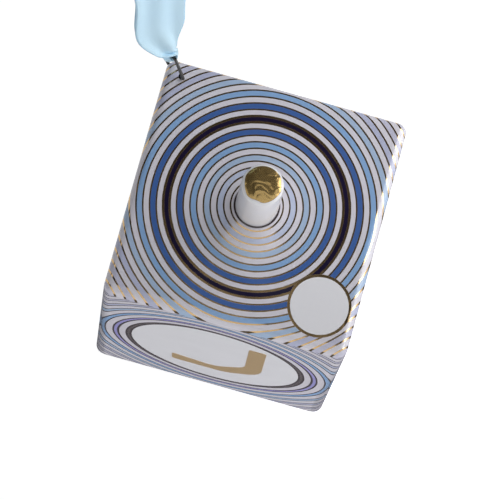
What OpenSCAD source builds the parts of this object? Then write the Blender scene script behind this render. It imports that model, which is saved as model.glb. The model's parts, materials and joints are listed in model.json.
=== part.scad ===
// Porcelain dreidel ornament, hung by a ribbon from one corner of its top face.
// Millimetres. The pieces are drawn as they hang, with +Z up. The origin is where a hook
// bears inside the ribbon loop, just under the knot.

/* [Body] */
// Width of the square body from side to side
body_w = 44; // [36:0.5:60]
// Height of the four lettered sides
side_h = 55; // [44:0.5:75]
// Height of the four-sided point under the sides
point_h = 20; // [12:0.5:32]
// Thickness of the slip-cast wall
wall = 3.2; // [2.4:0.1:4.2]
// Rounding of the edges round the top face
top_edge_r = 1.8; // [1:0.1:2.8]
// Rounding of the upright edges
side_edge_r = 1.8; // [1:0.1:2.8]
// Rounding of the tip that the dreidel spins on
tip_r = 2.5; // [1.5:0.1:4]

/* [Stem] */
// Diameter of the stem where it stands on its collar
stem_foot_d = 7.7; // [7.2:0.1:10]
// Diameter of the stem just under its rounded end
stem_end_d = 7.4; // [5:0.1:9]
// Height of the stem's end above the top face
stem_h = 16.8; // [10:0.1:26]
// Height of the rounded, gilded end
dome_h = 1.8; // [1.2:0.1:2.5]
// Height of the collar that swells from the top face up to the stem
collar_h = 0.8; // [0.4:0.1:1.5]
// Diameter of the collar on the top face
collar_d = 17; // [12:0.5:22]
// Diameter of the pour hole in the top, which the stem plugs
pour_hole_d = 5; // [3:0.1:6]
// Gap all round between the stem's spigot and the pour hole
spigot_gap = 0.05; // [0.05:0.05:0.2]
// How far the spigot reaches into the hollow past the wall
spigot_reach = 1; // [0.5:0.1:3]

/* [Wire bail] */
// Diameter of the wire
wire_d = 0.6; // [0.5:0.05:0.8]
// Gap all round between the wire and the hanging hole
hole_gap = 0.15; // [0.05:0.05:0.3]
// Distance of the hanging hole from the sharp corner, along the top face's diagonal
hole_inset = 4.4; // [3.8:0.1:5.5]
// Height from the hanging hole up to the bar that carries the ribbon
bail_h = 4.6; // [4.4:0.1:8]
// How far the wire clears each end of the hanging hole before it bends
bend_clear = 0.5; // [0.4:0.1:1.5]
// Bend radius at the middle of the wire
bend_r = 0.6; // [0.5:0.05:1]
// Width of the cut where the ends of the wire meet
wire_cut = 0.12; // [0.05:0.01:0.3]

/* [Ribbon] */
// Width of the ribbon laid flat
ribbon_w = 10; // [6:0.5:14]
// Thickness of the ribbon
ribbon_t = 0.3; // [0.2:0.05:0.5]
// Height of the hook above the bail's bar
drop = 70; // [50:1:120]
// Width of the ribbon where it is gathered round the bar and into the knot
gather_w = 3; // [2:0.1:4]
// Height over which the gathered ribbon fans out to its full width
fan_h = 9; // [6:0.5:16]
// Height over which the ribbon turns from the bar to face the front
twist_h = 3; // [3:0.5:8]
// Depth of the tight folds at the gathers, on each side of the middle
fold_tight = 0.45; // [0.3:0.05:0.5]
// Depth of the soft lengthwise folds in the open ribbon, on each side of the middle
fold_soft = 0.35; // [0.1:0.05:0.6]
// Distance between the two legs at the middle of the loop
loop_gap = 13; // [9:0.5:20]
// How far the loop bows to one side
sway = 3.5; // [0:0.5:6]
// How far the fanning ribbon sags to the other side, just above the bar
sag = 1.6; // [0:0.1:2]
// How far the gather has slid towards the front end of the bar
ahead = 1.4; // [0:0.1:1.4]
// Height above the bar where the two legs start to part
part_h = 8; // [6:0.5:12]
// Diameter of the knot
knot_d = 6.6; // [5.6:0.1:9]
// Height of the knot
knot_h = 6; // [4:0.1:9]
// Length of the two tails above the knot
tail_l = 16; // [10:0.5:30]
// Angle of each tail from upright
tail_lean = 24; // [15:1:40]
// How much longer one edge of a tail is than the other, where it is cut on the slant
tail_slant = 5; // [0:0.5:8]

/* [Hidden] */
$fn = 64;

glaze_white = [0.93, 0.93, 0.95];
gold_lustre = [0.83, 0.66, 0.27];
steel_grey = [0.55, 0.56, 0.58];
sky_blue = [0.72, 0.86, 0.97];

half = body_w / 2;
stem_foot_r = stem_foot_d / 2;
stem_end_r = stem_end_d / 2;
wire_r = wire_d / 2;

// The point's slanted faces run from the shoulder to a small circle at the tip.
tip_z = -side_h - point_h + tip_r;
slant_run = norm([half, point_h - tip_r]);
slant_normal = atan2(point_h - tip_r, half) - acos(tip_r / slant_run);

// Inside, the slanted faces are one wall thickness further in.
hollow_half = half - wall;
hollow_tip_z = tip_z + (tip_r - wall) / sin(slant_normal);
hollow_shoulder_z = hollow_tip_z - hollow_half * cos(slant_normal) / sin(slant_normal);

// Weight of each part of the body by its volume, and its height below the top face,
// which give the level of the body's centre of gravity on the stem's axis.
box_v = body_w ^ 2 * side_h;
point_v = body_w ^ 2 * point_h / 3;
hollow_box_v = (2 * hollow_half) ^ 2 * (-wall - hollow_shoulder_z);
hollow_point_v = (2 * hollow_half) ^ 2 * (hollow_shoulder_z - hollow_tip_z) / 3;
stem_v = PI * ((stem_foot_r + stem_end_r) / 2) ^ 2 * stem_h;
porcelain_v = box_v + point_v + stem_v - hollow_box_v - hollow_point_v;
porcelain_moment = stem_v * stem_h / 2
    - box_v * side_h / 2
    - point_v * (side_h + point_h / 4)
    - hollow_box_v * (hollow_shoulder_z - wall) / 2
    - hollow_point_v * (hollow_shoulder_z - (hollow_shoulder_z - hollow_tip_z) / 4);
centre_z = porcelain_moment / porcelain_v;

// The hanging hole crosses the corner under the top face. Its middle is the pivot, which
// hangs straight above the centre of gravity, so the hole lies level.
corner_d = half * sqrt(2);
edge_d = corner_d - side_edge_r * (sqrt(2) - 1);
hole_run = edge_d - corner_d + hole_inset;
pivot_d = edge_d - hole_run / 2;
pivot_z = -hole_run / 2;
hang_angle = atan2(pivot_d, pivot_z - centre_z);
hole_l = hole_run * sqrt(2);

bar_z = -drop;
hole_z = bar_z - bail_h;
bail_l = hole_l + 2 * (bend_clear + bend_r);

// The gathered ribbon wraps under the bar, clear of the wire.
wrap_gap = 0.1;
bight_r = wire_r + wrap_gap + fold_tight + ribbon_t / 2;
pleats = 2;
across = 9;
leg_steps = 24;
bight_steps = 8;
tail_steps = 10;

// Places a piece drawn round the stem's axis, with the top face at z = 0 and the hanging
// corner towards -X and +Y, into the way the dreidel hangs.
module hang() {
    translate([0, 0, hole_z])
        rotate([hang_angle, 0, 0])
            translate([0, -pivot_d, -pivot_z])
                rotate(-45)
                    children();
}

module rounded_square(w, r) {
    square([w, w - 2 * r], center = true);
    square([w - 2 * r, w], center = true);
    for (x = [-1, 1], y = [-1, 1])
        translate([x, y] * (w / 2 - r))
            circle(r);
}

// Outline of the body seen square to a side.
module side_outline() {
    tangent = tip_r * [cos(slant_normal), sin(slant_normal)];
    translate([0, tip_z])
        circle(tip_r);
    polygon([
        [-half, -top_edge_r],
        [-half, -side_h],
        [-tangent.x, tip_z + tangent.y],
        [tangent.x, tip_z + tangent.y],
        [half, -side_h],
        [half, -top_edge_r]
    ]);
    translate([-half + top_edge_r, -2 * top_edge_r])
        square([body_w - 2 * top_edge_r, 2 * top_edge_r]);
    for (x = [-1, 1])
        translate([x * (half - top_edge_r), -top_edge_r])
            circle(top_edge_r);
}

module hollow_outline() {
    polygon([
        [-hollow_half, -wall],
        [-hollow_half, hollow_shoulder_z],
        [0, hollow_tip_z],
        [hollow_half, hollow_shoulder_z],
        [hollow_half, -wall]
    ]);
}

// Keeps what two upright outlines, square to each other, have in common.
module crossed(l) {
    intersection_for (turn = [0, 90])
        rotate([90, 0, turn])
            linear_extrude(l, center = true)
                children();
}

module body_block() {
    intersection() {
        translate([0, 0, -side_h - point_h])
            linear_extrude(side_h + point_h)
                rounded_square(body_w, side_edge_r);
        crossed(2 * body_w)
            side_outline();
    }
    cylinder(h = collar_h, d1 = collar_d, d2 = stem_foot_d);
}

module body_shell() {
    color(glaze_white)
        difference() {
            hang()
                difference() {
                    body_block();
                    crossed(2 * body_w)
                        hollow_outline();
                    translate([0, 0, -2 * wall])
                        cylinder(h = 2 * wall + 2 * collar_h, d = pour_hole_d);
                }
            translate([0, 0, hole_z])
                rotate([90, 0, 0])
                    cylinder(h = 3 * hole_l, r = wire_r + hole_gap, center = true);
        }
}

module stem() {
    spigot_r = pour_hole_d / 2 - spigot_gap;
    spigot_z = -wall - spigot_reach;
    dome_z = stem_h - dome_h;
    dome_r = (stem_end_r ^ 2 + dome_h ^ 2) / (2 * dome_h);
    color(glaze_white)
        hang()
            rotate_extrude()
                polygon([
                    [0, spigot_z],
                    [spigot_r, spigot_z],
                    [spigot_r, collar_h],
                    [stem_foot_r, collar_h],
                    [stem_end_r, dome_z],
                    [0, dome_z]
                ]);
    color(gold_lustre)
        hang()
            rotate_extrude()
                intersection() {
                    translate([0, stem_h - dome_r])
                        circle(dome_r);
                    translate([0, dome_z])
                        square([stem_end_r, 2 * dome_h]);
                }
}

// A wire bent into a rectangle, measured to the middle of the wire.
module wire_rectangle(l, h) {
    for (end = [-1, 1]) {
        translate([0, end * h / 2])
            rotate([0, 90, 0])
                cylinder(h = l - 2 * bend_r, r = wire_r, center = true);
        translate([end * l / 2, 0])
            rotate([90, 0, 0])
                cylinder(h = h - 2 * bend_r, r = wire_r, center = true);
    }
    for (x = [-1, 1], y = [-1, 1])
        translate([x * (l / 2 - bend_r), y * (h / 2 - bend_r)])
            rotate(atan2(y, x) - 45)
                rotate_extrude(angle = 90)
                    translate([bend_r, 0])
                        circle(wire_r);
}

// The lower bar runs through the hanging hole, and the wire's ends meet in the back leg.
module wire_bail() {
    color(steel_grey)
        translate([0, 0, hole_z + bail_h / 2])
            rotate([90, 0, 90])
                difference() {
                    wire_rectangle(bail_l, bail_h);
                    translate([bail_l / 2, 0])
                        cube([2 * wire_d, wire_cut, 2 * wire_d], center = true);
                }
}

function smooth(t) = let (c = min(1, max(0, t))) c * c * (3 - 2 * c);
function ease(t) = sin(90 * min(1, max(0, t)));

// How far the ribbon is fanned out at a height above the bar: 0 gathered, 1 open.
function spread(h) = ease(h / fan_h) * smooth((drop - h) / fan_h);

// One section across a ribbon: points over its face and back under it. The face lies in
// the direction across, off the middle in the direction out, with folds on both sides of
// it. Where the ribbon hugs the bar, its front edge is drawn in.
function section(middle, across_dir, out_dir, open, off, hug = 0, slant = [0, 0, 0]) =
    let (
        half_w = (gather_w + (ribbon_w - gather_w) * open) / 2,
        depth = fold_tight + (fold_soft - fold_tight) * open,
        line = [
            for (i = [0:across - 1])
                let (
                    v = 2 * i / (across - 1) - 1,
                    drawn_in = 1 - hug * smooth(-2 * v - 1) / 2
                )
                middle + across_dir * half_w * v + slant * v
                    + out_dir * drawn_in * (off + depth * cos(180 * pleats * v))
        ]
    )
    [
        for (p = line) p + out_dir * ribbon_t / 2,
        for (i = [across - 1:-1:0]) line[i] - out_dir * ribbon_t / 2
    ];

// A section of the front leg (side 1) or back leg (side -1) at a height above the bar.
function leg_section(side, h) =
    let (
        turn = 90 * smooth(h / twist_h),
        out_dir = side * [cos(turn), -sin(turn), 0],
        part = (min(h, drop - h) - part_h) / (drop / 2 - part_h),
        off = bight_r + (loop_gap / 2 - bight_r) * smooth(1.1 * part),
        side_shift = sway * sin(180 * h / drop) - sag * sin(180 * min(1, h / fan_h)),
        slide = ahead * smooth(1.6 - 2.3 * h / drop)
    )
    section([side_shift, -slide, bar_z + h], [sin(turn), cos(turn), 0], out_dir,
        spread(h), off, 1 - smooth(h / twist_h));

// A section of the bight, at an angle round the bar.
function bight_section(angle) =
    let (out_dir = [cos(angle), 0, sin(angle)])
    section([0, -ahead, bar_z], [0, 1, 0], out_dir, 0, bight_r, 1);

// A closed band through the sections, in triangles.
module band(sections) {
    count = len(sections);
    ring = 2 * across;
    last = (count - 1) * ring;
    sides = [
        for (s = [0:count - 2], i = [0:ring - 1])
            let (
                j = (i + 1) % ring,
                a = s * ring + i,
                b = s * ring + j
            )
            each [[a, b, b + ring], [a, b + ring, a + ring]]
    ];
    ends = [
        for (i = [0:across - 2])
            let (k = ring - 1 - i)
            each [
                [i, k - 1, i + 1],
                [i, k, k - 1],
                [last + i, last + i + 1, last + k - 1],
                [last + i, last + k - 1, last + k]
            ]
    ];
    polyhedron([for (s = sections) each s], concat(sides, ends), convexity = 10);
}

module ribbon_loop() {
    // The steps lie closer together towards the gathers.
    heights = [for (i = [0:leg_steps]) drop * (1 - cos(180 * i / leg_steps)) / 2];
    color(sky_blue)
        band([
            for (i = [leg_steps:-1:1]) leg_section(1, heights[i]),
            for (i = [0:bight_steps]) bight_section(-180 * i / bight_steps),
            for (i = [1:leg_steps]) leg_section(-1, heights[i])
        ]);
}

// The overhand turn that ties both ends together, drawn in at its top and bottom.
module ribbon_knot() {
    bulge = knot_d / 8;
    bulge_r = (bulge ^ 2 + knot_h ^ 2 / 4) / (2 * bulge);
    color(sky_blue)
        rotate_extrude()
            intersection() {
                square([knot_d / 2, knot_h]);
                translate([knot_d / 2 - bulge_r, knot_h / 2])
                    circle(bulge_r);
            }
}

module ribbon_tails() {
    color(sky_blue)
        for (side = [-1, 1]) {
            along = [side * sin(tail_lean), 0, cos(tail_lean)];
            across_dir = [cos(tail_lean), 0, -side * sin(tail_lean)];
            foot = [0, -side * bight_r, knot_h];
            band([
                for (i = [0:tail_steps])
                    let (t = i / tail_steps)
                    section(foot + along * tail_l * t, i == 0 ? [1, 0, 0] : across_dir,
                        [0, 1, 0], ease(tail_l * t / fan_h), 0,
                        slant = along * side * tail_slant / 2 * t)
            ]);
        }
}

body_shell();
stem();
wire_bail();
ribbon_loop();
ribbon_knot();
ribbon_tails();
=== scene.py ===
import json
import math

import bmesh
import bpy
from mathutils import Matrix, Vector


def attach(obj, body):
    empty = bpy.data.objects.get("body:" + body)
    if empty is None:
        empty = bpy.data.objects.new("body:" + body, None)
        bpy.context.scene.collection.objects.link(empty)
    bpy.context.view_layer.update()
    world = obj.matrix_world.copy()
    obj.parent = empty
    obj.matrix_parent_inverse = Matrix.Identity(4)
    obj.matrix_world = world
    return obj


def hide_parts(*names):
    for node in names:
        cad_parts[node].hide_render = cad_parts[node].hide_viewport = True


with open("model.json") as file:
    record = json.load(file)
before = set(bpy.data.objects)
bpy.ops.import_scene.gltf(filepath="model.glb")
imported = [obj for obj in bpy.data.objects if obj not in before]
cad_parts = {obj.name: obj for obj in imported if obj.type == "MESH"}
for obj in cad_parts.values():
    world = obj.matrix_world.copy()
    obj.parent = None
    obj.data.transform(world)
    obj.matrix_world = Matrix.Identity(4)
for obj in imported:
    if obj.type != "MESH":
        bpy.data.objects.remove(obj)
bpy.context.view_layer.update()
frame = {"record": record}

# The body is slip-cast porcelain, hollow, with a square top, four flat sides and a four-sided
# point. All its edges are soft from casting and glazing. Rings of blue are printed round the
# stem and ovals on the sides, and each stripe is outlined in fired gold.
MM = 0.001
body_half = 22 * MM
side_height = 55 * MM
edge_round = 1.8 * MM
flat_border = 0.3 * MM
flat_area = 100 * MM * MM
top_cuts = 15
collar_radius = 10.5 * MM
collar_height = 0.8 * MM
collar_steps = 10
foot_radius = 3.85 * MM
pour_radius = 2.5 * MM
pour_depth = 5 * MM
glaze_crease = 40

# The point's height is to its sharp tip, before the edges are rounded.
point_height = 21.4 * MM

# The record's resting side gives how the upright body leans as it hangs.
resting = next(mount for mount in frame["record"]["mounts"] if mount["name"] == "resting_side")
side_in = -Vector(resting["axis"])
lean = math.atan2(side_in.z, side_in.y)
stem_way = Vector((0, -math.sin(lean), math.cos(lean)))
top_centre = Vector(resting["pos_m"]) + side_in * body_half + stem_way * side_height / 2
hang = (Matrix.Translation(top_centre) @ Matrix.Rotation(lean, 4, "X")
        @ Matrix.Rotation(-math.pi / 4, 4, "Z"))


class Flow:
    """One socket among a finish's nodes. Sums on it add Math nodes."""

    def __init__(self, tree, socket=None):
        self.tree, self.socket = tree, socket

    def add(self, kind, settings=None, sockets=None, out=0):
        node = self.tree.nodes.new(kind)
        for name, value in (settings or {}).items():
            setattr(node, name, value)
        for name, value in (sockets or {}).items():
            if isinstance(value, Flow):
                self.tree.links.new(value.socket, node.inputs[name])
            else:
                node.inputs[name].default_value = value
        return Flow(self.tree, node.outputs[out])

    def beside(self, out):
        return Flow(self.tree, self.socket.node.outputs[out])

    def sum(self, operation, *values, clamp=False):
        return self.add("ShaderNodeMath", {"operation": operation, "use_clamp": clamp},
                        dict(enumerate(values)))

    def __add__(self, other):
        return self.sum("ADD", self, other)

    def __radd__(self, other):
        return self.sum("ADD", other, self)

    def __sub__(self, other):
        return self.sum("SUBTRACT", self, other)

    def __rsub__(self, other):
        return self.sum("SUBTRACT", other, self)

    def __mul__(self, other):
        return self.sum("MULTIPLY", self, other)

    def __rmul__(self, other):
        return self.sum("MULTIPLY", other, self)

    def __truediv__(self, other):
        return self.sum("DIVIDE", self, other)

    def __abs__(self):
        return self.sum("ABSOLUTE", self)

    def floor(self):
        return self.sum("FLOOR", self)

    def root(self):
        return self.sum("SQRT", self)

    def either(self, other):
        return self.sum("MAXIMUM", self, other)

    def under(self, limit, soft=0.04):
        """1 where the value is under the limit, 0 where it is over, with a soft step."""
        return self.sum("ADD", (limit - self) / soft, 0.5, clamp=True)

    def over(self, limit, soft=0.04):
        return self.sum("ADD", (self - limit) / soft, 0.5, clamp=True)

    def pick(self, off, on):
        """A colour: off where the value is 0, on where it is 1."""
        off, on = (colour if isinstance(colour, Flow) else (*colour, 1) for colour in (off, on))
        return self.add("ShaderNodeMix", {"data_type": "RGBA"}, {0: self, 6: off, 7: on}, 2)


def new_finish(name, steady):
    material = bpy.data.materials.new(name)
    material.use_nodes = True
    shader = material.node_tree.nodes["Principled BSDF"]
    for socket, value in steady.items():
        shader.inputs[socket].default_value = value
    return material, Flow(material.node_tree)


def feed(material, **flows):
    shader = material.node_tree.nodes["Principled BSDF"]
    for socket, flow in flows.items():
        material.node_tree.links.new(flow.socket, shader.inputs[socket.replace("_", " ")])


def upright(flow):
    """Millimetres from the middle of the top face, along the sides and up the stem."""
    place = flow.add("ShaderNodeTexCoord", out="Object")
    return flow.add("ShaderNodeMapping", {"vector_type": "TEXTURE"},
                    {"Vector": place, "Location": hang.translation, "Rotation": hang.to_euler(),
                     "Scale": (MM, MM, MM)})


def axes(place):
    x = place.add("ShaderNodeSeparateXYZ", {}, {"Vector": place}, "X")
    return x, x.beside("Y"), x.beside("Z")


def mottle(place, scale, detail, **more):
    return place.add("ShaderNodeTexNoise", {}, {"Vector": place, "Scale": scale, "Detail": detail, **more})


def bump(height, distance, strength):
    return height.add("ShaderNodeBump", {},
                      {"Height": height, "Distance": distance, "Strength": strength})


def striped(count, colours):
    """One colour after another, stepping on at each whole number of the count."""
    stripe = count.add("ShaderNodeValToRGB", {}, {"Fac": count / len(colours)})
    ramp = stripe.socket.node.color_ramp
    ramp.interpolation = "CONSTANT"
    ramp.elements.remove(ramp.elements[-1])
    for i, colour in enumerate(colours):
        stop = ramp.elements.new(i / len(colours)) if i else ramp.elements[0]
        stop.position, stop.color = i / len(colours), (*colour, 1)
    return stripe


def make_piece(name, mesh_edit, material, body, crease=glaze_crease):
    mesh = bpy.data.meshes.new(name)
    mesh_edit.to_mesh(mesh)
    mesh_edit.free()
    piece = bpy.data.objects.new(name, mesh)
    bpy.context.scene.collection.objects.link(piece)
    mesh.materials.append(material)
    mesh.shade_smooth()
    mesh.set_sharp_from_angle(angle=math.radians(crease))
    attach(piece, body)
    return piece


def parts_of(geometry, kind):
    return [part for part in geometry if isinstance(part, kind)]


def extrude_rim(mesh_edit, edges):
    """Extrudes a rim, and gives the new rim's vertices and edges."""
    grown = bmesh.ops.extrude_edge_only(mesh_edit, edges=edges)["geom"]
    verts = parts_of(grown, bmesh.types.BMVert)
    return verts, [edge for edge in parts_of(grown, bmesh.types.BMEdge)
                   if all(vert in verts for vert in edge.verts)]


shell = bmesh.new()
bmesh.ops.create_cube(shell, size=2 * body_half)
bmesh.ops.scale(shell, vec=(1, 1, side_height / (2 * body_half)), verts=shell.verts)
bmesh.ops.translate(shell, vec=(0, 0, -side_height / 2), verts=shell.verts)
shoulder = min(shell.faces, key=lambda face: face.calc_center_median().z)
apex = bmesh.ops.poke(shell, faces=[shoulder])["verts"]
bmesh.ops.translate(shell, vec=(0, 0, -point_height), verts=apex)
bmesh.ops.bevel(shell, geom=shell.edges[:], offset=edge_round, offset_type="OFFSET", segments=8,
                profile=0.5, affect="EDGES", material=-1, clamp_overlap=True)

# A narrow border round each flat keeps the soft edges from bending the light on it.
flats = [face for face in shell.faces if face.calc_area() > flat_area]
bmesh.ops.inset_individual(shell, faces=flats, thickness=flat_border, use_even_offset=True)
top = max(flats, key=lambda face: face.calc_center_median().z)
bmesh.ops.delete(shell, geom=[top], context="FACES_ONLY")
bmesh.ops.subdivide_edges(shell, edges=[edge for edge in shell.edges if edge.is_boundary], cuts=top_cuts)
verts, flare = extrude_rim(shell, [edge for edge in shell.edges if edge.is_boundary])
for vert in verts:
    vert.co.xy = vert.co.xy.normalized() * collar_radius

# The collar sweeps up to the stem, and the pour hole goes down inside it.
route = [(collar_radius + (foot_radius - collar_radius) * i / collar_steps,
          collar_height * (i / collar_steps) ** 2) for i in range(collar_steps + 1)]
route += [(pour_radius, collar_height), (pour_radius, -pour_depth)]
for (radius, level), (next_radius, next_level) in zip(route, route[1:]):
    verts, flare = extrude_rim(shell, flare)
    bmesh.ops.scale(shell, vec=(next_radius / radius, next_radius / radius, 1), verts=verts)
    bmesh.ops.translate(shell, vec=(0, 0, next_level - level), verts=verts)
bmesh.ops.holes_fill(shell, edges=flare, sides=0)
bmesh.ops.recalc_face_normals(shell, faces=shell.faces)
bmesh.ops.transform(shell, matrix=hang, verts=shell.verts)

off_white = (0.74, 0.72, 0.79)
medal_white = (0.87, 0.87, 0.91)
cloud_white = (0.93, 0.93, 0.95)
pale_lavender = (0.56, 0.62, 0.80)
light_blue = (0.27, 0.45, 0.74)
soft_blue = (0.42, 0.55, 0.75)
royal_blue = (0.060, 0.140, 0.40)
navy = (0.012, 0.008, 0.034)
lavender = (0.51, 0.54, 0.72)
grey_lavender = (0.58, 0.58, 0.72)
pale_grey = (0.63, 0.62, 0.73)
plum = (0.36, 0.34, 0.70)
gold = (0.56, 0.39, 0.20)
# A dark colour for the printed side lines, also used for the painted shade at the stem's foot.
bronze_print_and_shade = (0.050, 0.036, 0.040)
dull_bronze = (0.13, 0.108, 0.112)

porcelain, flow = new_finish("printed_porcelain", {"IOR": 1.5})
spot = upright(flow)
x, y, z = axes(spot)
drift = mottle(spot, 0.9, 3.0)
ripple = mottle(spot, 0.11, 1.0)

# Rings round the stem, and again round the point. The navy ring has wider outlines.
ring_start, ring_pitch, first_outline = 5.81, 1.18, -1.5
outline_half, navy_more, navy_middle, navy_reach = 0.14, 0.07, 8.5, 0.9
foot_shade_radius, foot_shade_level = 4.1, 0.2
ring_colours = [off_white, pale_lavender, soft_blue, light_blue, royal_blue, navy, royal_blue,
                light_blue, soft_blue, lavender, grey_lavender, pale_grey, pale_grey]
radius = (x * x + y * y).root()
ring = (radius - ring_start) / ring_pitch
band = ring.floor()
pair = (band * 0.5).floor()
tinted = 1 - (band - pair * 2)
rings = tinted.pick(off_white, striped(pair + 1.5, ring_colours))
to_line = (0.5 - abs(ring - band - 0.5)) * ring_pitch
line_half = (outline_half + navy_more * abs(ring - navy_middle).under(navy_reach)) * (0.8 + 0.4 * drift)
ring_lines = to_line.under(line_half) * ring.over(first_outline)
# Painted shade: a dark ring round the stem's foot, where the stem meets the top.
foot_shade = radius.under(foot_shade_radius) * z.over(foot_shade_level)

# A bare white roundel on the top, with a gold outline.
roundel_x, roundel_y, roundel_radius = 15.2, -14.2, 5.65
hoop_radius, hoop_half, top_level = 5.4, 0.25, -1.7
roundel = ((x - roundel_x) * (x - roundel_x) + (y - roundel_y) * (y - roundel_y)).root()
on_top = z.over(top_level)
bare = roundel.under(roundel_radius) * on_top
hoop = abs(roundel - hoop_radius).under(hoop_half) * on_top
rings = bare.pick(rings, medal_white)
top_gold = (ring_lines * (1 - bare) * (1 - foot_shade)).either(hoop)

# An oval frame on each side, with stripes that follow it out to the edges.
oval_wide, oval_high, oval_level = 16.2, 19.25, -27.65
border, stripe_pitch, stripe_half, first_more, line_clear = 0.61, 1.225, 0.48, 0.07, 0.3
rim_half, rim_line, rim_line_half = 0.55, 0.40, 0.20
side_middle, side_half, side_soft = -28.6, 26.9, 0.1
stripe_colours = [plum, light_blue, soft_blue, lavender] + 4 * [grey_lavender]
across = flow.sum("MINIMUM", abs(x), abs(y)) / oval_wide
along = (z - oval_level) / oval_high
stretch = (across * across + along * along).root()
across_slope, along_slope = across / oval_wide, along / oval_high
slope = (across_slope * across_slope + along_slope * along_slope).root()
away = stretch * (stretch - 1) / slope.either(0.001)
stripe = (away - border) / stripe_pitch
stripe_pair = (stripe.floor() * 0.5).floor()
stripe_middle = (stripe / 2 - stripe_pair - 0.75) * 2 * stripe_pitch
stripes = abs(stripe_middle).under(stripe_half).pick(off_white, striped(stripe_pair + 0.5, stripe_colours))
stripe_line = abs(abs(stripe_middle) - stripe_half).under(outline_half + first_more * stripe_pair.under(0.5))
stripes = away.under(0).pick(stripes, medal_white)
stripes = abs(away).under(rim_half).pick(stripes, dull_bronze)
rim_lines = abs(abs(away) - rim_line).under(rim_line_half)
side_dark = (stripe_line * away.over(border + line_clear)).either(rim_lines)

on_side = abs(z - side_middle).under(side_half, side_soft)
glaze = on_side.pick(rings, stripes)
clouded = flow.add("ShaderNodeMix", {"data_type": "RGBA", "blend_type": "MULTIPLY"},
                   {0: 1.0, 6: glaze, 7: (*cloud_white, 1)}, 2)
glaze = (drift * 0.35).pick(glaze, clouded)
# The dark marks are the printed side lines and the painted shade at the stem's foot.
dark = (on_side * side_dark).either(foot_shade)
metal = (1 - on_side) * top_gold
feed(porcelain,
     Base_Color=metal.pick(dark.pick(glaze, bronze_print_and_shade), gold),
     Metallic=metal,
     Roughness=0.08 + 0.05 * drift + 0.04 * metal,
     Normal=bump(ripple * 0.9 + metal * 0.02 + drift * 0.01, 0.1 * MM, 1.0))
body = make_piece("porcelain_body", shell, porcelain, "dreidel")
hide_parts("body_shell")

# The hanging hole is drilled level through the corner before firing.
drill_radius, drill_length, hole_level = 0.45 * MM, 14 * MM, -74.6 * MM
drill_edit = bmesh.new()
bmesh.ops.create_cone(drill_edit, cap_ends=True, segments=32, radius1=drill_radius, radius2=drill_radius,
                      depth=drill_length)
bmesh.ops.rotate(drill_edit, matrix=Matrix.Rotation(math.pi / 2, 3, "X"), verts=drill_edit.verts)
bmesh.ops.translate(drill_edit, vec=(0, 0, hole_level), verts=drill_edit.verts)
drill_mesh = bpy.data.meshes.new("drill")
drill_edit.to_mesh(drill_mesh)
drill_edit.free()
drill = bpy.data.objects.new("drill", drill_mesh)
bpy.context.scene.collection.objects.link(drill)
bore = body.modifiers.new("hanging_hole", "BOOLEAN")
bore.object, bore.operation, bore.solver = drill, "DIFFERENCE", "EXACT"
bpy.context.view_layer.update()
body.data = bpy.data.meshes.new_from_object(body.evaluated_get(bpy.context.evaluated_depsgraph_get()))
body.modifiers.clear()
bpy.data.objects.remove(drill)
body.data.set_sharp_from_angle(angle=math.radians(glaze_crease))

# One traditional letter stands on each side, in plain strokes of thick gold lustre that were
# painted on the oval and fired. A stroke's corners are millimetres from the oval's middle.
letter_thick = 0.06 * MM
letter_round, elbow_round = 0.6, 4.0
pale_gold = (0.68, 0.49, 0.27)
letters = {
    "nun": [[(5.6, 13), (8.8, 13), (9, -4, "elbow"), (7.6, -7.4, "elbow"), (2.5, -11.5, "elbow"),
             (-7.5, -11.4), (-7.7, -7.2), (0.5, -8.9, "elbow"), (5.8, -3.2, "elbow")]],
    "gimel": [[(-4.5, 13.4), (5.4, 13.4), (5.4, -11.8), (1.8, -11.8), (1.8, -6.8), (-5, -11.8), (-7.2, -9),
               (1.8, -2.4), (1.8, 9.9), (-4.5, 9.9)]],
    "hei": [[(-8.4, 13.2), (8.4, 13.2), (8.4, -11.8), (4.8, -11.8), (4.8, 9.7), (-8.4, 9.7)],
            [(-7.2, 5.4), (-3.6, 5.4), (-3.6, -11.8), (-7.2, -11.8)]],
    "shin": [[(-9.4, 12.8), (-5.9, 12.8), (-5, -8.2), (-1.7, -8.2), (-1.7, 12.8), (1.8, 12.8), (1.8, -8.2),
              (5.7, -8.2), (6, 12.8), (9.5, 12.8), (8.8, -11.8), (-8.2, -11.8)]],
}
lustre, flow = new_finish("gold_lustre", {"Metallic": 0.35})
brush = mottle(upright(flow), 1.6, 4.0)
feed(lustre,
     Base_Color=brush.pick(gold, pale_gold),
     Roughness=0.30 + 0.16 * brush,
     Normal=bump(brush, 0.03 * MM, 0.6))
for turn, (name, strokes) in enumerate(letters.items()):
    letter = bmesh.new()
    for stroke in strokes:
        corners = [letter.verts.new((right * MM, -body_half, (oval_level + rise) * MM))
                   for right, rise, *kind in stroke]
        letter.faces.new(corners)
        elbows = [corner for corner, (right, rise, *kind) in zip(corners, stroke) if kind]
        ends = [corner for corner, (right, rise, *kind) in zip(corners, stroke) if not kind]
        for verts, soft in ((elbows, elbow_round), (ends, letter_round)):
            bmesh.ops.bevel(letter, geom=verts, offset=soft * MM, offset_type="OFFSET", segments=6,
                            profile=0.5, affect="VERTICES", material=-1, clamp_overlap=True)
    raised = bmesh.ops.extrude_face_region(letter, geom=letter.faces[:], use_keep_orig=True)["geom"]
    bmesh.ops.translate(letter, vec=(0, -letter_thick, 0), verts=parts_of(raised, bmesh.types.BMVert))
    bmesh.ops.recalc_face_normals(letter, faces=letter.faces)
    on_its_side = hang @ Matrix.Rotation(-turn * math.pi / 2, 4, "Z")
    bmesh.ops.transform(letter, matrix=on_its_side, verts=letter.verts)
    make_piece("letter_" + name, letter, lustre, "dreidel")

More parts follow.
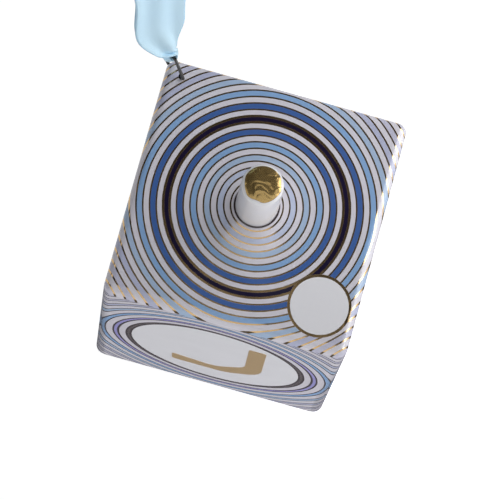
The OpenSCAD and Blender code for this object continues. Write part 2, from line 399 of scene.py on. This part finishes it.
# The stem is a solid porcelain peg that tapers a little, set in the pour hole with slip. Its
# rounded end is dipped in gold lustre by hand, so the gold ends in an uneven line.
stem_top, stem_radius, dome_height = 16.8, 3.7, 1.8
spigot_radius, spigot_end = 2.45, -4.2
seat_radius, seat_level = 3.6, 0.8
heel_radius, heel_level = 3.82, 0.95
shank_radius, shank_level = 3.83, 1.3
taper_steps, dome_steps, dome_power = 8, 20, 0.72
dome_level = stem_top - dome_height
profile = [(0, spigot_end), (spigot_radius, spigot_end), (spigot_radius, seat_level),
           (seat_radius, seat_level), (heel_radius, heel_level), (shank_radius, shank_level)]
profile += [(shank_radius + (stem_radius - shank_radius) * i / taper_steps,
             shank_level + (dome_level - shank_level) * i / taper_steps)
            for i in range(1, taper_steps + 1)]
profile += [(stem_radius * math.cos(math.pi / 2 * i / dome_steps) ** dome_power,
             dome_level + dome_height * math.sin(math.pi / 2 * i / dome_steps) ** dome_power)
            for i in range(1, dome_steps + 1)]
peg = bmesh.new()
line = [peg.verts.new((r * MM, 0, level * MM)) for r, level in profile]
edges = [peg.edges.new(ends) for ends in zip(line, line[1:])]
bmesh.ops.spin(peg, geom=line + edges, cent=(0, 0, 0), axis=(0, 0, 1), angle=2 * math.pi, steps=64,
               use_merge=True)
bmesh.ops.remove_doubles(peg, verts=peg.verts, dist=0.01 * MM)
bmesh.ops.recalc_face_normals(peg, faces=peg.faces)
bmesh.ops.transform(peg, matrix=hang, verts=peg.verts)

peg_white, peg_pale = (0.79, 0.79, 0.82), (0.83, 0.83, 0.86)
dip_deep, dip_bright = (0.34, 0.22, 0.075), (0.52, 0.37, 0.15)
dip_radius, dip_waver, dip_level = 2.75, 0.9, 14
dipped, flow = new_finish("dipped_porcelain", {"IOR": 1.5})
spot = upright(flow)
x, y, level = axes(spot)
waver = mottle(spot, 0.32, 1.0)
swirl = mottle(spot, 0.34, 1.0, Distortion=1.6)
speck = mottle(spot, 2.2, 3.0)
dip = (x * x + y * y).root().under(dip_radius + dip_waver * waver, 0.05) * level.over(dip_level)
feed(dipped,
     Base_Color=dip.pick(speck.pick(peg_white, peg_pale), swirl.pick(dip_deep, dip_bright)),
     Metallic=0.8 * dip,
     Roughness=0.07 + 0.04 * speck + 0.14 * dip,
     Normal=bump(dip * swirl + 0.03 * speck, 0.4 * MM, 0.8))
stem = make_piece("gilded_stem", peg, dipped, "dreidel")
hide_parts("stem")

# The bail is a length of drawn steel wire, bent into a small rectangle through the hanging hole.
# Its ends meet behind, with a hair's gap.
wire_radius, bend, wire_gap = 0.3 * MM, 0.6 * MM, 0.12 * MM
bail_half, bail_height = 3.684 * MM, 4.6 * MM
bail_middle = hole_level + bail_height / 2
bar_half, leg_half = bail_half - bend, bail_height / 2 - bend
upper, lower = bail_middle + leg_half, bail_middle - leg_half
to_the_gap = leg_half - wire_gap / 2
wire = bmesh.new()
end = bmesh.ops.create_circle(wire, cap_ends=True, segments=16, radius=wire_radius)["verts"]
bmesh.ops.translate(wire, vec=(0, bail_half, bail_middle + wire_gap / 2), verts=end)
tip = list({edge for vert in end for edge in vert.link_edges})

# Each run of wire has its length, its way and the middle of the bend after it.
runs = [(to_the_gap, (0, 0, 1), (0, bar_half, upper)),
        (2 * bar_half, (0, -1, 0), (0, -bar_half, upper)),
        (2 * leg_half, (0, 0, -1), (0, -bar_half, lower)),
        (2 * bar_half, (0, 1, 0), (0, bar_half, lower)),
        (to_the_gap, (0, 0, 1), None)]
for length, way, corner in runs:
    verts, tip = extrude_rim(wire, tip)
    bmesh.ops.translate(wire, vec=Vector(way) * length, verts=verts)
    if corner:
        turned = bmesh.ops.spin(wire, geom=verts + tip, cent=corner, axis=(1, 0, 0), angle=math.pi / 2,
                                steps=6)
        tip = parts_of(turned["geom_last"], bmesh.types.BMEdge)
bmesh.ops.holes_fill(wire, edges=tip, sides=0)
bmesh.ops.recalc_face_normals(wire, faces=wire.faces)

steel_dark, steel_light = (0.035, 0.035, 0.038), (0.11, 0.11, 0.11)
steel, flow = new_finish("drawn_steel", {"Metallic": 1.0})
place = flow.add("ShaderNodeTexCoord", out="Object")
drawn = flow.add("ShaderNodeMapping", {}, {"Vector": place, "Scale": (9000, 500, 500)})
streak = mottle(drawn, 1.0, 3.0)
feed(steel,
     Base_Color=streak.pick(steel_dark, steel_light),
     Roughness=0.18 + 0.16 * streak,
     Normal=bump(streak, 0.01 * MM, 0.5))
bail = make_piece("wire_loop", wire, steel, "bail")
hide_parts("wire_bail")

# The ribbon is pale blue satin, 10 mm wide. It is gathered round the bail's upper bar, turns to
# face the front and rises in two softly folded legs to the knot. Its cut length is its middle
# line, along both legs and round the bar.
ribbon_width, ribbon_thick, ribbon_drop, loop_length = 10.0, 0.25, 70.0, 151
gather_width, fan, twist, wrap = 3.0, 9.0, 2.0, 1.0
fold_tight, fold_soft = 0.45, 0.16
loop_gap, part_height, part_rate = 13.0, 14.0, 1.1
sway, sag, behind = 3.5, 1.5, 0.8
ahead, lead, lead_height, slide_hold, slide_rate = 1.4, 1.6, 3, 1.6, 2.3
pinch, pinch_height, pinch_fade = 0.6, 1.5, 5.5
bight = math.pi * wrap
no_crease = 180


def ease_in_out(t):
    t = min(1, max(0, t))
    return t * t * (3 - 2 * t)


def ease_out(t):
    return math.sin(math.pi / 2 * min(1, max(0, t)))


def folded(middle, across_way, out_way, open_up, v, off=0, hug=0):
    """A point of the ribbon, v across it from -1 to 1, with lengthwise folds. Where the ribbon
    hugs the bar, its front edge is drawn in."""
    half = (gather_width + (ribbon_width - gather_width) * open_up) / 2
    depth = fold_tight + (fold_soft - fold_tight) * open_up
    drawn_in = 1 - hug * ease_in_out(-2 * v - 1) / 2
    return middle + across_way * half * v + out_way * drawn_in * (off + depth * math.cos(2 * math.pi * v))


def leg_point(side, h, v):
    turn = math.pi / 2 * ease_in_out(h / twist)
    out_way = side * Vector((math.cos(turn), -math.sin(turn), 0))
    part = (min(h, ribbon_drop - h) - part_height) / (ribbon_drop / 2 - part_height)
    off = wrap + (loop_gap / 2 - wrap) * ease_in_out(part_rate * part)
    below_knot = ease_in_out((ribbon_drop - h) / fan)
    shift = sway * math.sin(math.pi * h / ribbon_drop)
    shift -= sag * math.sin(math.pi * min(1, h / part_height)) ** 2
    shift += behind * (1 - side) / 2 * ease_in_out(h / fan) * below_knot
    slide = ahead + lead * ease_in_out(h / lead_height)
    slide *= ease_in_out(slide_hold - slide_rate * h / ribbon_drop)
    pinched = pinch * ease_in_out(h / pinch_height) * (1 - ease_in_out((h - pinch_height) / pinch_fade))
    return folded(Vector((shift, -slide, h - ribbon_drop)), Vector((math.sin(turn), math.cos(turn), 0)),
                  out_way, ease_out(h / fan) * below_knot, v * (1 - pinched * (v > 0)), off,
                  1 - ease_in_out(h / twist))


def loop_point(along_loop, v):
    run = along_loop * (2 * ribbon_drop + bight)
    if run < ribbon_drop:
        return leg_point(1, ribbon_drop - run, v)
    if run > ribbon_drop + bight:
        return leg_point(-1, run - ribbon_drop - bight, v)
    angle = (ribbon_drop - run) / wrap
    out_way = Vector((math.cos(angle), 0, math.sin(angle)))
    return folded(Vector((0, -ahead, -ribbon_drop)), Vector((0, 1, 0)), out_way, 0, v, wrap, 1)


def weave_strip(across_n, along_n, place_point):
    strip = bmesh.new()
    strip.loops.layers.uv.new("UVMap")
    bmesh.ops.create_grid(strip, x_segments=across_n, y_segments=along_n, size=1, calc_uvs=True)
    for vert in strip.verts:
        vert.co = place_point((vert.co.y + 1) / 2, vert.co.x) * MM
    return strip


def satin_piece(name, strip):
    piece = make_piece(name, strip, satin, "ribbon", no_crease)
    solid = piece.modifiers.new("thickness", "SOLIDIFY")
    solid.thickness, solid.offset = ribbon_thick * MM, 0
    return piece


satin_blue, satin_pale, selvedge_blue = (0.58, 0.82, 1.0), (0.66, 0.89, 1.0), (0.55, 0.80, 0.98)
warp_threads, weft_picks, selvedge_start, selvedge_soft = 260, 1400, 0.47, 0.01
satin, flow = new_finish("pale_blue_satin", {"Sheen Weight": 0.15, "Sheen Roughness": 0.4,
                                             "Specular IOR Level": 0.3})
u, v, _ = axes(flow.add("ShaderNodeUVMap", {"uv_map": "UVMap"}))
cloud = mottle(flow.add("ShaderNodeTexCoord", out="Object"), 160.0, 2.0)
floats = flow.sum("SINE", u * warp_threads * math.tau)
picks = flow.sum("SINE", v * weft_picks * math.tau + floats)
selvedge = (selvedge_start - abs(u - 0.5)).under(0, selvedge_soft)
feed(satin,
     Base_Color=selvedge.pick(cloud.pick(satin_blue, satin_pale), selvedge_blue),
     Roughness=0.34 + 0.10 * cloud + 0.06 * picks,
     Normal=bump(floats * 0.5 + picks * 0.5 + selvedge, 0.02 * MM, 0.35))
loop = satin_piece("satin_loop", weave_strip(24, 260, loop_point))
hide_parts("ribbon_loop")

# The two ends are tied in one overhand knot. Its turn of ribbon lies round the gathered legs in
# tight folds, and a second turn crosses it on the slant. Each turn has its level, its width up
# the knot, its reach out from the middle and its slant.
knot_height = 6.0
knot_turns = {"knot_turn": (2.6, 4.2, 2.75, 0.5), "knot_cross": (3.4, 2.6, 3.0, -1.1)}
knot_waist, knot_bulge, bulge_fall = 0.72, 0.28, 0.45
knot_fold, fold_wander = 0.22, 0.6


def turn_point(lift, tall, reach, tilt):
    def place_point(around, v):
        angle = around * math.tau
        bulge = 1 - bulge_fall * v * v
        fold = knot_fold * math.cos(3 * math.pi * v + fold_wander * math.sin(angle))
        radius = reach * (knot_waist + knot_bulge * bulge) + fold
        level = lift + tall / 2 * v + tilt * math.sin(angle)
        return Vector((radius * math.cos(angle), radius * math.sin(angle), level))
    return place_point


for name, sizes in knot_turns.items():
    turn_edit = weave_strip(20, 64, turn_point(*sizes))
    bmesh.ops.remove_doubles(turn_edit, verts=turn_edit.verts, dist=0.001 * MM)
    satin_piece(name, turn_edit)
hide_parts("ribbon_knot")

# The tails are the ribbon's two ends above the knot. They fan out as the satin comes free of it,
# and are cut on the slant.
tail_length, tail_lean, tail_slant = 16.0, math.radians(24), 5.0
for name, side in {"tail_left": -1, "tail_right": 1}.items():
    along_way = Vector((side * math.sin(tail_lean), 0, math.cos(tail_lean)))
    across_way = Vector((math.cos(tail_lean), 0, -side * math.sin(tail_lean)))

    def tail_point(t, v):
        foot = Vector((0, -side * wrap, knot_height)) + along_way * tail_length * t
        foot += along_way * side * tail_slant / 2 * t * v
        return folded(foot, across_way, Vector((0, 1, 0)), ease_out(tail_length * t / fan), v)

    piece = satin_piece(name, weave_strip(20, 30, tail_point))
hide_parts("ribbon_tails")

# The floor is white paper just under the lowest corner. It glows, so that it shows as plain white
# and lights the sides from below.
paper_level, paper_half = -157 * MM, 4


def set_out(name, stage_edit, material, only_mirrored=False):
    mesh = bpy.data.meshes.new(name)
    stage_edit.to_mesh(mesh)
    stage_edit.free()
    mesh.materials.append(material)
    sheet = bpy.data.objects.new(name, mesh)
    bpy.context.scene.collection.objects.link(sheet)
    if only_mirrored:
        sheet.visible_camera = sheet.visible_diffuse = sheet.visible_shadow = False


paper, _ = new_finish("white_paper", {"Base Color": (0.85, 0.85, 0.85, 1), "Roughness": 0.9,
                                      "Emission Color": (0.81, 0.81, 0.81, 1), "Emission Strength": 1.0})
floor_edit = bmesh.new()
bmesh.ops.create_grid(floor_edit, x_segments=1, y_segments=1, size=paper_half)
bmesh.ops.translate(floor_edit, vec=(0, 0, paper_level), verts=floor_edit.verts)
set_out("floor", floor_edit, paper)

# The room is white where it is looked at, nearly as white in the glaze, and gives little light.
room_light, room_mirrored = 0.20, 0.9
world = bpy.data.worlds.new("white_room")
bpy.context.scene.world = world
world.use_nodes = True
flow = Flow(world.node_tree)
ray = flow.add("ShaderNodeLightPath", out="Is Camera Ray")
seen = ray.either(ray.beside("Is Glossy Ray") * room_mirrored)
background = world.node_tree.nodes["Background"]
background.inputs["Color"].default_value = (1, 1, 1, 1)
strength = room_light + (1 - room_light) * seen
world.node_tree.links.new(strength.socket, background.inputs["Strength"])


def softbox(name, place, size, power, diffuse=True, glossy=True):
    light = bpy.data.lights.new(name, "AREA")
    light.shape, light.size, light.size_y = "RECTANGLE", *size
    light.energy = power
    lamp = bpy.data.objects.new(name, light)
    bpy.context.scene.collection.objects.link(lamp)
    lamp.location = hang @ (Vector(place) * MM)
    lamp.rotation_mode = "QUATERNION"
    lamp.rotation_quaternion = (lamp.location - top_centre).to_track_quat("Z", "Y")
    lamp.visible_camera, lamp.visible_diffuse, lamp.visible_glossy = False, diffuse, glossy


# The key only lights, the rim lamp only shows in the glaze, and a small lamp at the left does both.
softbox("softbox_key", (75, 92, 97), (0.16, 0.16), 0.157, glossy=False)
softbox("softbox_rim", (165, 50, 55), (0.14, 0.20), 0.33, diffuse=False)
softbox("softbox_left", (-172, 0, 102), (0.06, 0.06), 0.012)

# Dark cards behind, left and right, seen only in the glaze, give the gold something dark to mirror. Their
# faint glow, paler towards the back, is painted reflection, and they leave a bright wedge towards the front.
felt_dark, felt_glow = (0.01, 0.01, 0.01), (0.06, 0.057, 0.053)
glow_across, glow_back, glow_depth = 150, 196, 52
card_radius = 0.8
card_cuts = [((0, 0.12, 0.16), (0, 0.6, 0.8)), ((0.44, 0, 0), (-1, 0, 0))]
felt, flow = new_finish("black_felt", {"Base Color": (*felt_dark, 1), "Roughness": 1.0,
                                       "Emission Strength": 1.0})
x, y, _ = axes(upright(flow))
# Painted reflection: the felt glows, brighter towards the back and the right.
painted_glow = flow.sum("ADD", x / glow_across, (y - glow_back) / glow_depth, clamp=True)
feed(felt, Emission_Color=painted_glow.pick(felt_dark, felt_glow))
for name, wedge in {"card_left": (-0.77, 0.60, -0.12), "card_right": (0.56, 0.80, -0.16)}.items():
    card_edit = bmesh.new()
    bmesh.ops.create_uvsphere(card_edit, u_segments=48, v_segments=24, radius=card_radius)
    for cut, way in [((0, 0, 0), wedge), *card_cuts]:
        bmesh.ops.bisect_plane(card_edit, geom=card_edit.verts[:] + card_edit.edges[:] + card_edit.faces[:],
                               plane_co=cut, plane_no=way, clear_inner=True)
    bmesh.ops.transform(card_edit, matrix=hang, verts=card_edit.verts)
    set_out(name, card_edit, felt, only_mirrored=True)

# A grey card lies on the floor, seen only in the glaze and glowing faintly: painted shade for the floor
# under the body, so that the sides keep their colour at a glance.
low_radius, low_place = 0.11, Vector((-10, 40, -156.5)) * MM
grey, _ = new_finish("grey_shade_card", {"Base Color": (0.1, 0.1, 0.1, 1), "Roughness": 1.0,
                                   "Emission Color": (0.08, 0.08, 0.09, 1), "Emission Strength": 1.0})
low_edit = bmesh.new()
bmesh.ops.create_circle(low_edit, cap_ends=True, segments=48, radius=low_radius)
bmesh.ops.translate(low_edit, vec=low_place, verts=low_edit.verts)
set_out("card_low", low_edit, grey, only_mirrored=True)

# The camera looks down on the top face, close to the stem's own line.
camera_place = Vector((-1.0783, -158.1259, 625.7678)) * MM
forward = Vector((0.003113, 0.233461, -0.972361))
up = Vector((-0.269070, 0.936701, 0.224038))
camera = bpy.data.cameras.new("camera")
camera.lens, camera.sensor_width = 265.15, 36
camera.clip_start, camera.clip_end = 0.01, 20
eye = bpy.data.objects.new("camera", camera)
bpy.context.scene.collection.objects.link(eye)
turned = hang.to_3x3() @ Matrix((forward.cross(up), up, -forward)).transposed()
eye.matrix_world = Matrix.Translation(hang @ camera_place) @ turned.to_4x4()
bpy.context.scene.camera = eye
bpy.context.scene.view_settings.view_transform = "Standard"
